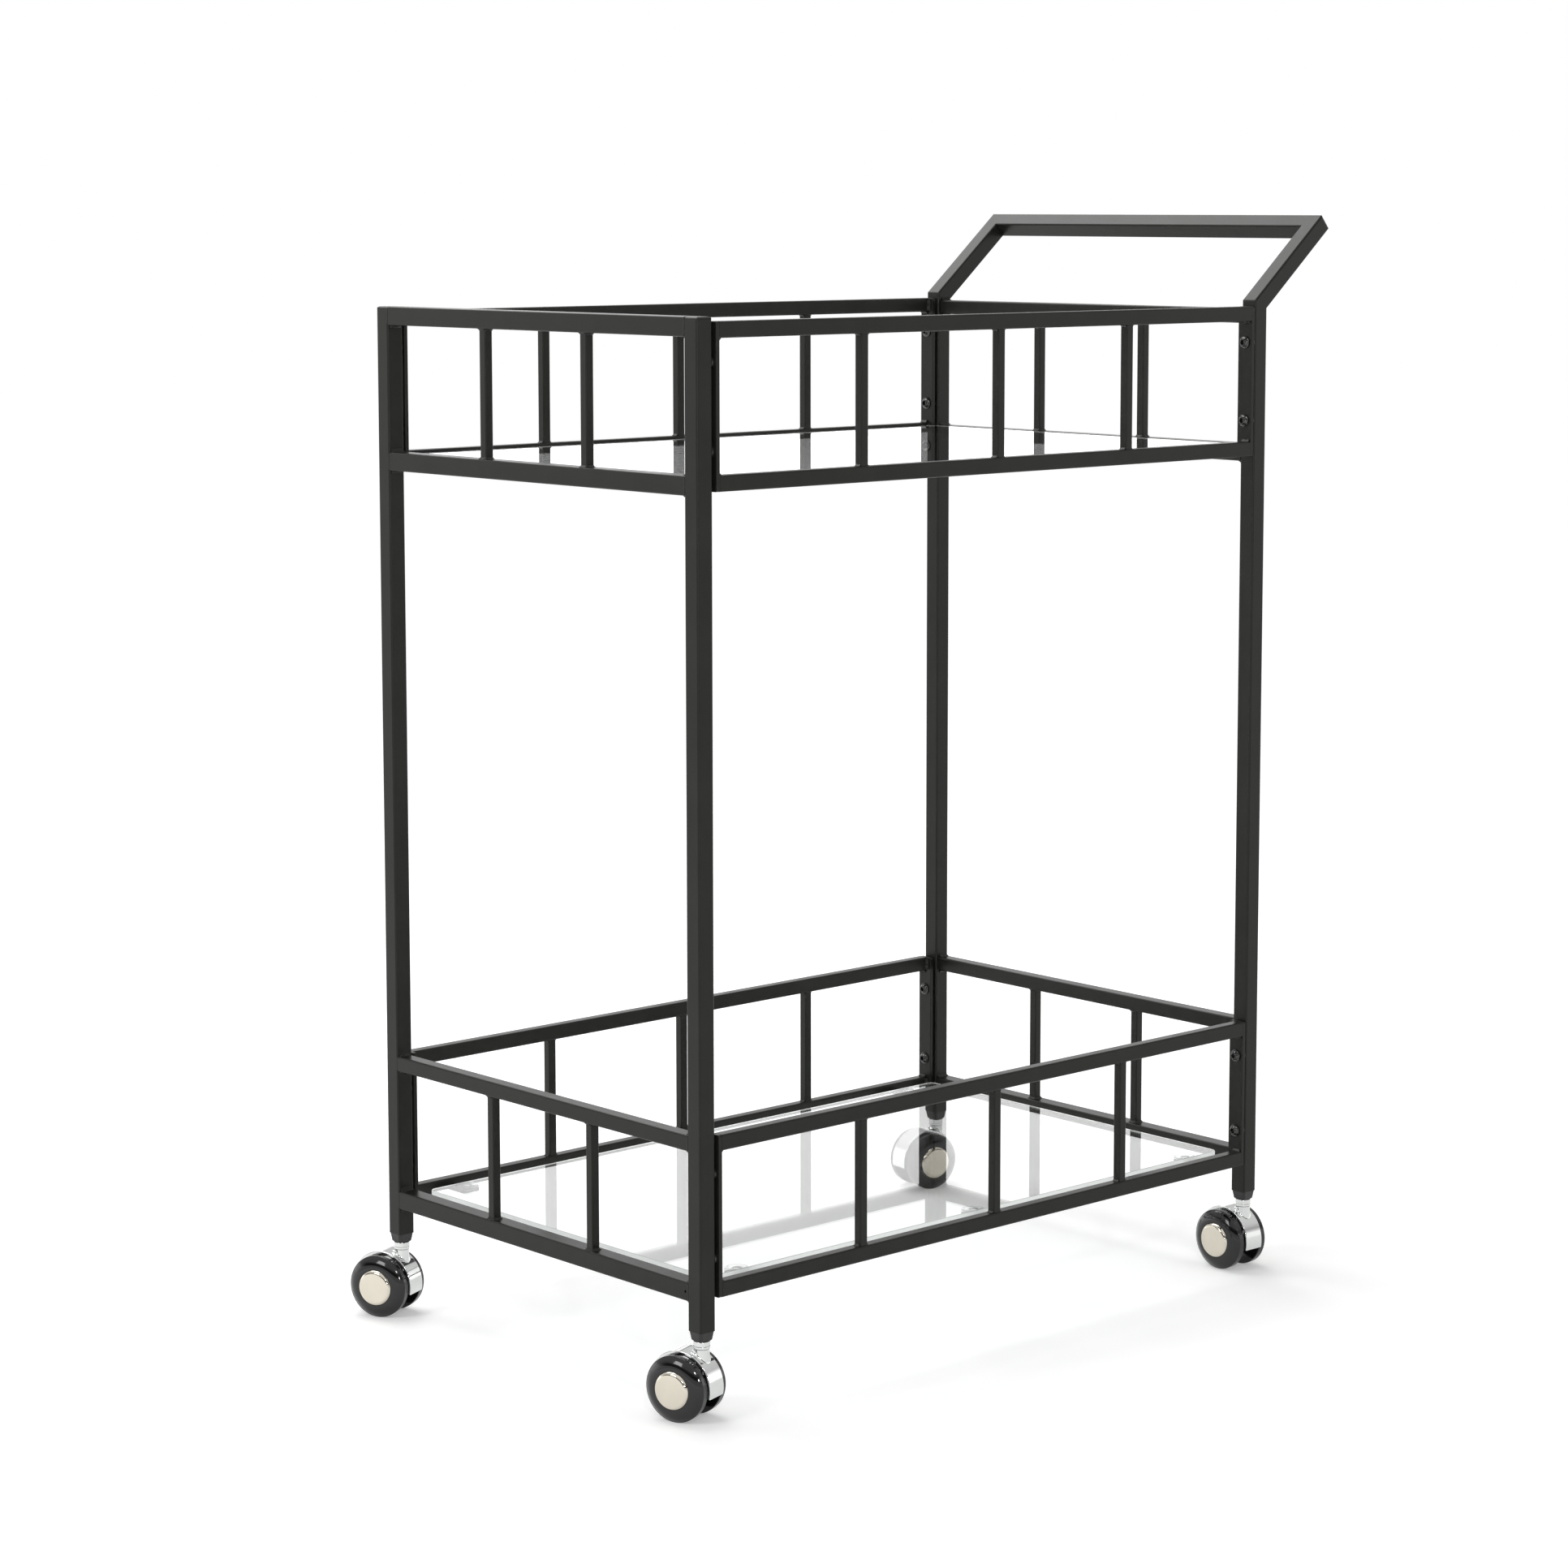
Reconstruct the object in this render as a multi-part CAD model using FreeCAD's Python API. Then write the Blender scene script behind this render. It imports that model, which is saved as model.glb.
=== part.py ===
"""Two-tier bar cart on four twin-wheel casters, in millimetres.

The origin is on the floor, midway between the four swivel axes. +Z is up, +X
points to the handle end, and -Y is the front long side.
"""

import FreeCAD, Part
import math
import os

# ---------------------------------------------------------------- driving sizes

# Frame, over the posts' outer faces.
frame_length = 636.0
frame_width = 398.0
post_top = 839.0

# Square tube of the posts, the handle and the wider end rails.
post_size = 15.0
post_wall = 1.2
post_corner = 1.5
mitre_corner = 2.5
post_top_wall = 3.0
post_top_round = 2.5

# Handle: the posts of one end turn outwards and carry a crossbar.
handle_rise_angle = 40.0
handle_reach = 100.5
bend_drop = 2.0

# Smaller tube of the guard rails.
guard_size = 12.5
guard_wall = 1.2
handle_guard_drop = 2.0
plain_tray_drop = 2.7
handle_tray_drop = 4.8
base_rail_drop = 2.7
vent_radius = 1.1
vent_from_post = 2.8

# Bolted side panels, two to a side.
panel_height = 126.5
panel_below_top = 3.5
panel_above_post_foot = 25.1
panel_rail_height = 12.5
panel_rail_depth = 10.0
panel_rail_wall = 1.0
panel_rail_corner = 1.5
panel_proud = 1.5
plate_thickness = 3.5
plate_width = 15.0
plate_corner = 2.0
plate_edge_round = 0.4
plate_gap = 2.5

# Spindles: square bars welded upright between the rails.
spindle_size = 7.5
spindle_corner = 1.0
panel_spindle_count = 3
end_spindle_spacing = 125.6

# Button-head screws and the rivet nuts that take them.
screw_radius = 3.0
screw_head_radius = 5.25
screw_head_height = 3.3
screw_socket_width = 4.0
screw_socket_depth = 1.8
screw_head_rim = 1.0
screw_crown_radius = 2.8
screw_head_swell = 0.5
screw_hole_clearance = 0.3
screw_spacing = 66.0
nut_body_radius = 4.4
nut_flange_radius = 5.5
nut_depth = 10.0
screw_tip_gap = 1.0
thread_fit = 0.02

# Glass shelves on padded tabs.
glass_thickness = 4.0
glass_corner = 6.0
glass_edge_bevel = 0.4
glass_side_gap = 12.5
glass_end_gap = 11.0
glass_below_rail_top = 1.8
pad_thickness = 2.5
pad_radius = 10.0
pad_lip = 1.4
pad_groove_depth = 0.8
pad_stem_radius = 2.5
pad_stem_clearance = 0.2
pad_knob_radius = 4.0
pad_knob_height = 2.5
pad_from_rail = 19.2
tab_width = 17.5
tab_thickness = 2.5
tab_length = 26.0
tab_corner = 3.0
tab_end_inset = 40.0

# Caster sockets: plastic plugs in the posts' feet.
socket_flange_size = 14.7
socket_foot_size = 12.4
socket_flange_corner = 2.5
socket_foot_round = 1.8
socket_flange_height = 7.5
socket_plug_height = 30.0
socket_plug_clearance = 0.1

# Twin-wheel casters.
wheel_radius = 26.0
wheel_inner_face = 9.9
tread_outer_edge = 15.6
wheel_inner_bevel = 0.6
wheel_shoulder_depth = 0.7
wheel_shoulder_width = 0.6
wheel_dome_edge = 20.6
wheel_dome_swell = 1.2
wheel_hub_radius = 7.0
cap_radius = 15.0
cap_rim = 20.4
cap_crown = 23.5
cap_face_radius = 12.0
cap_face_rise = 0.55
cap_centre_radius = 0.8
cap_seat_depth = 2.2
cap_clearance = 0.1
axle_radius = 3.0
axle_seat_fit = 0.02
wheel_running_fit = 0.05
axle_end_gap = 0.5
caster_trail = 14.4
hood_overhang = 2.2
hood_thickness = 2.0
hood_edge_round = 0.6
hood_half_width = 9.6
hood_web_half_width = 4.0
hub_side_gap = 0.3
hood_front_drop = 12.0
hood_rear_drop = 9.0
boss_radius = 6.0
boss_rise = 30.2
boss_bore_depth = 26.0
boss_flare = 2.6
stem_radius = 4.0
stem_running_fit = 0.05
stem_height = 24.0
stem_foot_gap = 1.0
collar_radius = 6.55
collar_height = 6.0
collar_groove_depth = 0.5
collar_groove_height = 1.2
collar_edge_round = 0.5
swivel_gap = 0.3

# How each caster has swivelled: the heading of its trail from +X, in degrees.
trail_heading = {
    "plain_front": 107.0,
    "handle_front": 89.0,
    "plain_back": 113.5,
    "handle_back": 170.0,
}

# ---------------------------------------------------------------- derived places

X = FreeCAD.Vector(1, 0, 0)
Y = FreeCAD.Vector(0, 1, 0)
Z = FreeCAD.Vector(0, 0, 1)

half_post = post_size / 2
post_x = frame_length / 2 - half_post
post_y = frame_width / 2 - half_post
axle_z = wheel_radius
boss_top = axle_z + boss_rise
collar_foot = boss_top + swivel_gap
collar_top = collar_foot + collar_height
post_foot = collar_top + socket_flange_height

upper_panel_z = post_top - panel_below_top - panel_height
lower_panel_z = post_foot + panel_above_post_foot
end_rail_length = frame_width - 2 * post_size
plate_outer_x = frame_length / 2 - post_size - plate_gap
plate_inner_x = plate_outer_x - plate_thickness
panel_front_y = frame_width / 2 + panel_proud
panel_rail_y = panel_front_y - panel_rail_depth / 2
plate_y = panel_front_y - plate_width / 2
rail_inner_y = panel_front_y - panel_rail_depth

handle_direction = FreeCAD.Vector(
    math.cos(math.radians(handle_rise_angle)), 0, math.sin(math.radians(handle_rise_angle))
)
bend_z = post_top - bend_drop

sides = {"front": -1, "back": 1}
ends = {"plain": -1, "handle": 1}
tiers = {"upper": upper_panel_z, "lower": lower_panel_z}


def glass_top(tier):
    """Height of a shelf's upper face, just under the tops of its side rails."""
    return tiers[tier] + panel_rail_height - glass_below_rail_top


# ---------------------------------------------------------------- shape helpers

def export(name, solids):
    """Write one sub-part, as one solid or as a group of separate solids."""
    group = solids if isinstance(solids, list) else [solids]
    shape = group[0] if len(group) == 1 else Part.makeCompound(group)
    shape.exportStep("parts/" + name + ".step")


def rounded_rectangle(width, depth, corner):
    """Flat face centred on the origin, with its four corners rounded."""
    if corner <= 0:
        return Part.makePlane(width, depth, FreeCAD.Vector(-width / 2, -depth / 2, 0))
    a = width / 2 - corner
    b = depth / 2 - corner
    arcs = []
    for quarter, (cx, cy) in enumerate([(a, b), (-a, b), (-a, -b), (a, -b)]):
        circle = Part.Circle(FreeCAD.Vector(cx, cy, 0), Z, corner)
        start = quarter * math.pi / 2
        arcs.append(Part.ArcOfCircle(circle, start, start + math.pi / 2))
    edges = []
    for here, after in zip(arcs, arcs[1:] + arcs[:1]):
        edges.append(here.toShape())
        edges.append(Part.LineSegment(here.EndPoint, after.StartPoint).toShape())
    return Part.Face(Part.Wire(edges))


def bar(width, depth, length, corner):
    """Solid rounded bar standing on the origin, along +Z."""
    return rounded_rectangle(width, depth, corner).extrude(Z * length)


def tube(width, depth, length, corner, wall):
    """Hollow rounded tube standing on the origin, along +Z."""
    bore_corner = max(corner - wall, 0)
    bore = bar(width - 2 * wall, depth - 2 * wall, length, bore_corner)
    return bar(width, depth, length, corner).cut(bore)


def cylinder(radius, low, high, x=0, y=0):
    """Upright round bar between two heights."""
    return Part.makeCylinder(radius, high - low, FreeCAD.Vector(x, y, low), Z)


def stand(shape, origin, along, across):
    """Turn a shape's own +Z to `along` and its +X to `across`, and move it to `origin`."""
    turned = shape.copy()
    rotation = FreeCAD.Rotation(across, along.cross(across), along, "ZXY")
    turned.Placement = FreeCAD.Placement(origin, rotation).multiply(turned.Placement)
    return turned


def half_space(point, normal, reach):
    """Block on the side of a plane that its normal points to."""
    side = Y if abs(normal.y) < 0.9 else X
    across = side.cross(normal).normalize()
    block = Part.makeBox(2 * reach, 2 * reach, reach, FreeCAD.Vector(-reach, -reach, 0))
    return stand(block, point, normal, across)


def mitre(shape, point, before, after, keep_before):
    """Cut a tube where its path turns from one direction to another, and round the corner."""
    plane = (before + after).normalize()
    shape = shape.cut(half_space(point, plane if keep_before else plane * -1, 8 * post_size))
    half_turn = before.getAngle(after) / 2
    hinge = before.cross(after).normalize()
    outer_before = before.cross(hinge)
    outer_after = after.cross(hinge)
    bisector = (outer_before + outer_after).normalize()
    centre = point + bisector * ((half_post - mitre_corner) / math.cos(half_turn))
    corner = point + bisector * (half_post / math.cos(half_turn))
    tangent_before = centre + outer_before * mitre_corner
    tangent_after = centre + outer_after * mitre_corner
    shift = hinge * -post_size
    kite = (centre, tangent_before, corner, tangent_after, centre)
    outline = Part.makePolygon([point + shift for point in kite])
    block = Part.Face(outline).extrude(hinge * (2 * post_size))
    rounding = Part.makeCylinder(mitre_corner, 2 * post_size, centre + shift, hinge)
    return shape.cut(block.cut(rounding))


def place(x, y, z):
    return FreeCAD.Vector(x, y, z)


# ---------------------------------------------------------------- posts and handle

def screw_heights():
    """Heights of all the panel screws on one post."""
    middles = [low_z + panel_height / 2 for low_z in tiers.values()]
    return [middle + offset for middle in middles for offset in screw_offsets()]


def screw_offsets():
    """The two screws of a plate, below and above its middle."""
    return (-screw_spacing / 2, screw_spacing / 2)


def drill_post(post, end, side):
    """Holes in the post's inner face for the rivet nuts."""
    start_x = end * (frame_length / 2 - post_size - post_wall)
    for z in screw_heights():
        start = place(start_x, side * plate_y, z)
        post = post.cut(Part.makeCylinder(nut_body_radius, 3 * post_wall, start, X * end))
    return post


def plain_post(side):
    """Upright of the plain end, its closed top rounded over."""
    height = post_top - post_foot
    outer = bar(post_size, post_size, height, post_corner)
    crown = Part.makeBox(post_size, post_size, height, place(-half_post, -half_post, 0))
    rim = [edge for edge in crown.Edges if edge.BoundBox.ZMin > height / 2]
    bore_size = post_size - 2 * post_wall
    bore = bar(bore_size, bore_size, height - post_top_wall, post_corner - post_wall)
    post = outer.common(crown.makeFillet(post_top_round, rim)).cut(bore)
    return drill_post(stand(post, place(-post_x, side * post_y, post_foot), Z, X), -1, side)


def handle_post(side):
    """Upright of the handle end, mitred to the rising arm."""
    length = post_top - post_foot + post_size
    post = tube(post_size, post_size, length, post_corner, post_wall)
    post = stand(post, place(post_x, side * post_y, post_foot), Z, X)
    bend = place(post_x, side * post_y, bend_z)
    return drill_post(mitre(post, bend, Z, handle_direction, True), 1, side)


def handle_corner_point(side):
    return place(post_x, side * post_y, bend_z) + handle_direction * handle_reach


def handle_arm(side):
    """Arm from the top of a handle post out to the crossbar."""
    bend = place(post_x, side * post_y, bend_z)
    length = handle_reach + 4 * post_size
    arm = tube(post_size, post_size, length, post_corner, post_wall)
    arm = stand(arm, bend - handle_direction * (2 * post_size), handle_direction, Y)
    arm = mitre(arm, bend, Z, handle_direction, False)
    return mitre(arm, handle_corner_point(side), handle_direction, Y * -side, True)


def handle_crossbar():
    """Bar held in the hand, with its faces square to the arms."""
    length = frame_width + 2 * post_size
    middle = handle_corner_point(0)
    crossbar = tube(post_size, post_size, length, post_corner, post_wall)
    crossbar = stand(crossbar, middle - Y * (length / 2), Y, handle_direction)
    for side in sides.values():
        crossbar = mitre(crossbar, handle_corner_point(side), handle_direction, Y * -side, False)
    return crossbar


# ---------------------------------------------------------------- end rails

def end_rail(end, low_z, size):
    """Rail welded between two posts, its outer face flush with theirs."""
    wall = post_wall if size == post_size else guard_wall
    rail = tube(size, size, end_rail_length, post_corner, wall)
    centre_x = end * (frame_length / 2 - size / 2)
    return stand(rail, place(centre_x, -end_rail_length / 2, low_z + size / 2), Y, X)


def vent_hole(low_z):
    """Drill for the gas vent in the plain base rail's outer face, by the front post."""
    start = place(-frame_length / 2 - post_wall, vent_from_post - end_rail_length / 2, low_z + half_post)
    return Part.makeCylinder(vent_radius, 3 * post_wall, start, X)


def end_rail_heights(end):
    """Lowest height of each rail of one end, with its size and wall."""
    tray_drop = {"plain": plain_tray_drop, "handle": handle_tray_drop}[end]
    upper_top = {
        "plain": post_top - post_size,
        "handle": upper_panel_z + panel_height - handle_guard_drop - guard_size,
    }[end]
    lower_top = lower_panel_z + panel_height - guard_size
    return {
        "top_rail": (upper_top, post_size if end == "plain" else guard_size),
        "tray_rail": (upper_panel_z - tray_drop, post_size),
        "guard_rail": (lower_top, guard_size),
        "base_rail": (lower_panel_z - base_rail_drop, post_size),
    }


def end_spindles(end):
    """Two spindles in each tray's end, under the guard rail's centre line."""
    rails = end_rail_heights(end)
    centre_x = ends[end] * (frame_length / 2 - guard_size / 2)
    solids = []
    for lower, upper in (("tray_rail", "top_rail"), ("base_rail", "guard_rail")):
        foot = rails[lower][0] + rails[lower][1]
        length = rails[upper][0] - foot
        for y in (-end_spindle_spacing / 2, end_spindle_spacing / 2):
            spindle = bar(spindle_size, spindle_size, length, spindle_corner)
            solids.append(stand(spindle, place(centre_x, y, foot), Z, X))
    return solids


# ---------------------------------------------------------------- side panels

def panel_rails(side, low_z):
    """Bottom and top rail of a side panel, welded between its end plates."""
    solids = []
    for z in (low_z, low_z + panel_height - panel_rail_height):
        length = 2 * plate_inner_x
        rail = tube(panel_rail_depth, panel_rail_height, length, panel_rail_corner, panel_rail_wall)
        centre = place(-plate_inner_x, side * panel_rail_y, z + panel_rail_height / 2)
        solids.append(stand(rail, centre, X, Y))
    return solids


def panel_plates(side):
    """Flat bars at the four panel ends of one side, drilled for the screws."""
    solids = []
    for low_z in tiers.values():
        for end in ends.values():
            middle = place(end * plate_outer_x, side * plate_y, low_z + panel_height / 2)
            solids.append(stand(panel_plate(), middle, X * -end, Y))
    return solids


def panel_plate():
    """Flat bar lying on the origin, its length along Y, with two screw holes."""
    plate = bar(plate_width, panel_height, plate_thickness, plate_corner)
    rims = [edge for edge in plate.Edges if edge.BoundBox.ZLength < plate_thickness / 2]
    plate = plate.makeFillet(plate_edge_round, rims)
    for offset in screw_offsets():
        plate = plate.cut(cylinder(screw_radius + screw_hole_clearance, -1, plate_thickness + 1, 0, offset))
    return plate


def panel_spindles(side, low_z):
    """Spindles evenly spaced between the plates of one panel."""
    pitch = 2 * plate_inner_x / (panel_spindle_count + 1)
    length = panel_height - 2 * panel_rail_height
    solids = []
    for index in range(panel_spindle_count):
        x = -plate_inner_x + pitch * (index + 1)
        spindle = bar(spindle_size, spindle_size, length, spindle_corner)
        solids.append(stand(spindle, place(x, side * panel_rail_y, low_z + panel_rail_height), Z, X))
    return solids


# ---------------------------------------------------------------- screws and rivet nuts

def screw_sites():
    """Where each screw's axis stands, with the end of the cart that it points to."""
    corners = [(end, side) for end in ends.values() for side in sides.values()]
    return [(end, side * plate_y, z) for end, side in corners for z in screw_heights()]


def button_screw():
    """Screw with its head's seat on the origin and its shank along -Z."""
    length = plate_thickness + plate_gap + nut_depth - screw_tip_gap
    rim = place(screw_head_radius, 0, screw_head_rim)
    crown = place(screw_crown_radius, 0, screw_head_height)
    swell = (crown + rim) / 2 + (rim - crown).cross(Y).normalize() * -screw_head_swell
    outline = [
        Part.LineSegment(place(0, 0, -length), place(screw_radius, 0, -length)),
        Part.LineSegment(place(screw_radius, 0, -length), place(screw_radius, 0, 0)),
        Part.LineSegment(place(screw_radius, 0, 0), place(screw_head_radius, 0, 0)),
        Part.LineSegment(place(screw_head_radius, 0, 0), rim),
        Part.Arc(rim, swell, crown),
        Part.LineSegment(crown, place(0, 0, screw_head_height)),
        Part.LineSegment(place(0, 0, screw_head_height), place(0, 0, -length)),
    ]
    profile = Part.Face(Part.Wire([part.toShape() for part in outline]))
    screw = profile.revolve(place(0, 0, 0), Z, 360)
    return screw.cut(hex_key())


def hex_key():
    """Six-sided hole for the key, down from the top of the head."""
    corner_radius = screw_socket_width / 2 / math.cos(math.radians(30))
    turns = [math.radians(angle) for angle in range(0, 361, 60)]
    corners = [place(corner_radius * math.cos(turn), corner_radius * math.sin(turn), 0) for turn in turns]
    key = Part.Face(Part.makePolygon(corners)).extrude(Z * (2 * screw_socket_depth))
    return key.translated(Z * (screw_head_height - screw_socket_depth))


def panel_screws():
    """All the screws, their heads on the plates' inner faces."""
    screw = button_screw()
    return [stand(screw, place(end * plate_inner_x, y, z), X * -end, Y) for end, y, z in screw_sites()]


def rivet_nuts():
    """Threaded rivets set in the posts, whose flanges hold the plates off."""
    flange = cylinder(nut_flange_radius, 0, plate_gap)
    body = cylinder(nut_body_radius - thread_fit, -nut_depth, plate_gap)
    bore = cylinder(screw_radius + thread_fit, -2 * nut_depth, 2 * plate_gap)
    nut = flange.fuse(body).cut(bore)
    face_x = frame_length / 2 - post_size
    return [stand(nut, place(end * face_x, y, z), X * -end, Y) for end, y, z in screw_sites()]


# ---------------------------------------------------------------- shelves

def shelf_glass(tier):
    """Clear glass plate with rounded corners and eased edges."""
    length = frame_length - 2 * (post_size + glass_end_gap)
    width = 2 * (rail_inner_y - glass_side_gap)
    plate = bar(length, width, glass_thickness, glass_corner)
    rims = [e for e in plate.Edges if abs(e.BoundBox.ZLength) < glass_thickness / 2]
    plate = plate.makeChamfer(glass_edge_bevel, rims)
    plate.translate(Z * (glass_top(tier) - glass_thickness))
    return plate


def support_sites():
    """Where the glass rests: the middle and both ends of each side rail."""
    reach = plate_inner_x - tab_end_inset
    return [(x, side) for side in sides.values() for x in (-reach, 0, reach)]


def shelf_tab():
    """Tab with its weld end at +Y of the origin and its free corners rounded."""
    tab = bar(tab_width, tab_length + tab_corner, tab_thickness, tab_corner)
    tab.translate(Y * (tab_corner / 2))
    beyond_weld = Part.makeBox(tab_width, tab_length, tab_thickness, place(-tab_width / 2, tab_length / 2, 0))
    hole_y = tab_length / 2 - pad_from_rail
    hole = cylinder(pad_stem_radius + pad_stem_clearance, -1, tab_thickness + 1, 0, hole_y)
    return tab.cut(beyond_weld).cut(hole)


def shelf_tabs():
    """Steel tabs welded to the inner faces of the panels' bottom rails."""
    solids = []
    for tier in tiers:
        low_z = glass_top(tier) - glass_thickness - pad_thickness - tab_thickness
        for x, side in support_sites():
            middle = place(x, side * (rail_inner_y - tab_length / 2), low_z)
            solids.append(stand(shelf_tab(), middle, Z, X * side))
    return solids


def glass_pads():
    """Clear cups between tab and glass, each on a stem with a knob below the tab."""
    solids = []
    for tier in tiers:
        glass_foot = glass_top(tier) - glass_thickness
        tab_top = glass_foot - pad_thickness
        knob_top = tab_top - tab_thickness
        disc = cylinder(pad_radius, tab_top, glass_foot)
        ring = cylinder(pad_radius - pad_lip, glass_foot - pad_groove_depth, glass_foot)
        ring = ring.cut(cylinder(pad_stem_radius + pad_lip, glass_foot - pad_groove_depth, glass_foot))
        stem = cylinder(pad_stem_radius, knob_top, tab_top)
        knob = cylinder(pad_knob_radius, knob_top - pad_knob_height, knob_top)
        pad = disc.cut(ring).fuse(stem).fuse(knob)
        for x, side in support_sites():
            solids.append(stand(pad, place(x, side * (rail_inner_y - pad_from_rail), 0), Z, X))
    return solids


# ---------------------------------------------------------------- casters

def caster_sites():
    """Name and swivel axis of each caster."""
    return {
        end + "_" + side: place(ends[end] * post_x, sides[side] * post_y, 0)
        for end in ends for side in sides
    }


def caster_socket():
    """Plastic plug inside a post's foot, with a tapered flange under it."""
    foot = rounded_rectangle(socket_foot_size, socket_foot_size, socket_flange_corner)
    rim = rounded_rectangle(socket_flange_size, socket_flange_size, socket_flange_corner)
    flange = Part.makeLoft([foot.OuterWire, rim.translated(Z * socket_flange_height).OuterWire], True)
    foot_edges = [edge for edge in flange.Edges if edge.BoundBox.ZMax < socket_flange_height / 2]
    flange = flange.makeFillet(socket_foot_round, foot_edges)
    flange.translate(Z * collar_top)
    plug_size = post_size - 2 * (post_wall + socket_plug_clearance)
    plug = bar(plug_size, plug_size, socket_plug_height, post_corner / 2)
    plug.translate(Z * post_foot)
    bore = cylinder(stem_radius + thread_fit, collar_foot, collar_top + stem_height + stem_foot_gap)
    return flange.fuse(plug).cut(bore)


def caster_stem():
    """Threaded stem in the socket, its chrome collar, and the pin that the hood turns on."""
    top = cylinder(stem_radius, collar_top, collar_top + stem_height)
    collar = cylinder(collar_radius, collar_foot, collar_top)
    collar = collar.makeFillet(collar_edge_round, [collar.Edges[0], collar.Edges[2]])
    waist = collar_radius - collar_groove_depth
    groove_foot = collar_foot + collar_height / 3
    groove = cylinder(2 * collar_radius, groove_foot, groove_foot + collar_groove_height)
    collar = collar.cut(groove.cut(cylinder(waist, groove_foot, groove_foot + collar_groove_height)))
    pin = cylinder(stem_radius, stem_pin_foot(), collar_foot)
    return collar.fuse(top).fuse(pin)


def stem_pin_foot():
    """Lower end of the swivel pin, a little above the bottom of its bore."""
    return boss_bore_foot() + stem_foot_gap


def boss_bore_foot():
    """Bottom of the swivel pin's blind bore."""
    return boss_top - boss_bore_depth


def hood_radius():
    return wheel_radius + hood_overhang


def around_axle(radius, angle):
    """Point at an angle about the axle, from the trail's heading towards +Z."""
    turn = math.radians(angle)
    return place(caster_trail + radius * math.cos(turn), 0, axle_z + radius * math.sin(turn))


def fender_sector(radius, half_width):
    """Sector of a round slab about the axle, open below the fender's two ends."""
    start = around_axle(radius, -hood_rear_drop)
    top = around_axle(radius, 90)
    finish = around_axle(radius, 180 + hood_front_drop)
    axis = place(caster_trail, 0, axle_z)
    outline = [Part.Arc(start, top, finish), Part.LineSegment(finish, axis), Part.LineSegment(axis, start)]
    sector = Part.Face(Part.Wire([part.toShape() for part in outline]))
    return sector.extrude(Y * (2 * half_width)).translated(Y * -half_width)


def fender_shell():
    """Curved chrome fender with eased edges."""
    outer = hood_radius()
    sector = fender_sector(outer, hood_half_width)
    rims = [edge for edge in sector.Edges if edge.Length > math.pi * outer]
    hollow = fender_sector(outer - hood_thickness, 2 * hood_half_width)
    return sector.makeFillet(hood_edge_round, rims).cut(hollow)


def on_boss_seam(edge):
    """Whether an edge lies where the boss leaves the fender's outer face."""
    middle = edge.valueAt((edge.FirstParameter + edge.LastParameter) / 2)
    off_boss = abs(math.hypot(middle.x, middle.y) - boss_radius)
    off_fender = abs(math.hypot(middle.x - caster_trail, middle.z - axle_z) - hood_radius())
    return max(off_boss, off_fender) < hood_edge_round / 10


def caster_hood():
    """Chrome fender with a middle web that carries the axle and turns on the stem."""
    boss = cylinder(boss_radius, boss_bore_foot() - hood_thickness, boss_top)
    flared = fender_shell().fuse(boss)
    flared = flared.makeFillet(boss_flare, [edge for edge in flared.Edges if on_boss_seam(edge)])
    web = fender_sector(hood_radius() - hood_thickness / 2, hood_web_half_width)
    hub_start = place(caster_trail, -hood_web_half_width, axle_z)
    hub = Part.makeCylinder(wheel_hub_radius, 2 * hood_web_half_width, hub_start, Y)
    hood = flared.fuse(web).fuse(hub).removeSplitter()
    swivel_bore = cylinder(stem_radius + stem_running_fit, boss_bore_foot(), boss_top + boss_radius)
    bore_start = place(caster_trail, -2 * hood_half_width, axle_z)
    axle_bore = Part.makeCylinder(axle_radius + axle_seat_fit, 4 * hood_half_width, bore_start, Y)
    return hood.cut(swivel_bore).cut(axle_bore)


def axle_half_length():
    """The axle stops a little short of the caps' inner faces."""
    return cap_rim - cap_seat_depth - axle_end_gap


def caster_axle():
    length = axle_half_length()
    return Part.makeCylinder(axle_radius, 2 * length, place(caster_trail, -length, axle_z), Y)


def revolve_about_axle(outline, hand):
    """Solid of revolution from an outline of (distance along the axle, radius)."""
    profile = Part.Face(Part.Wire([part.toShape() for part in outline]))
    solid = profile.revolve(place(0, 0, 0), X, 360)
    return stand(solid, place(caster_trail, 0, axle_z), Z, Y * hand)


def line(a0, r0, a1, r1):
    return Part.LineSegment(place(a0, r0, 0), place(a1, r1, 0))


def arc(a0, r0, am, rm, a1, r1):
    return Part.Arc(place(a0, r0, 0), place(am, rm, 0), place(a1, r1, 0))


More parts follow.
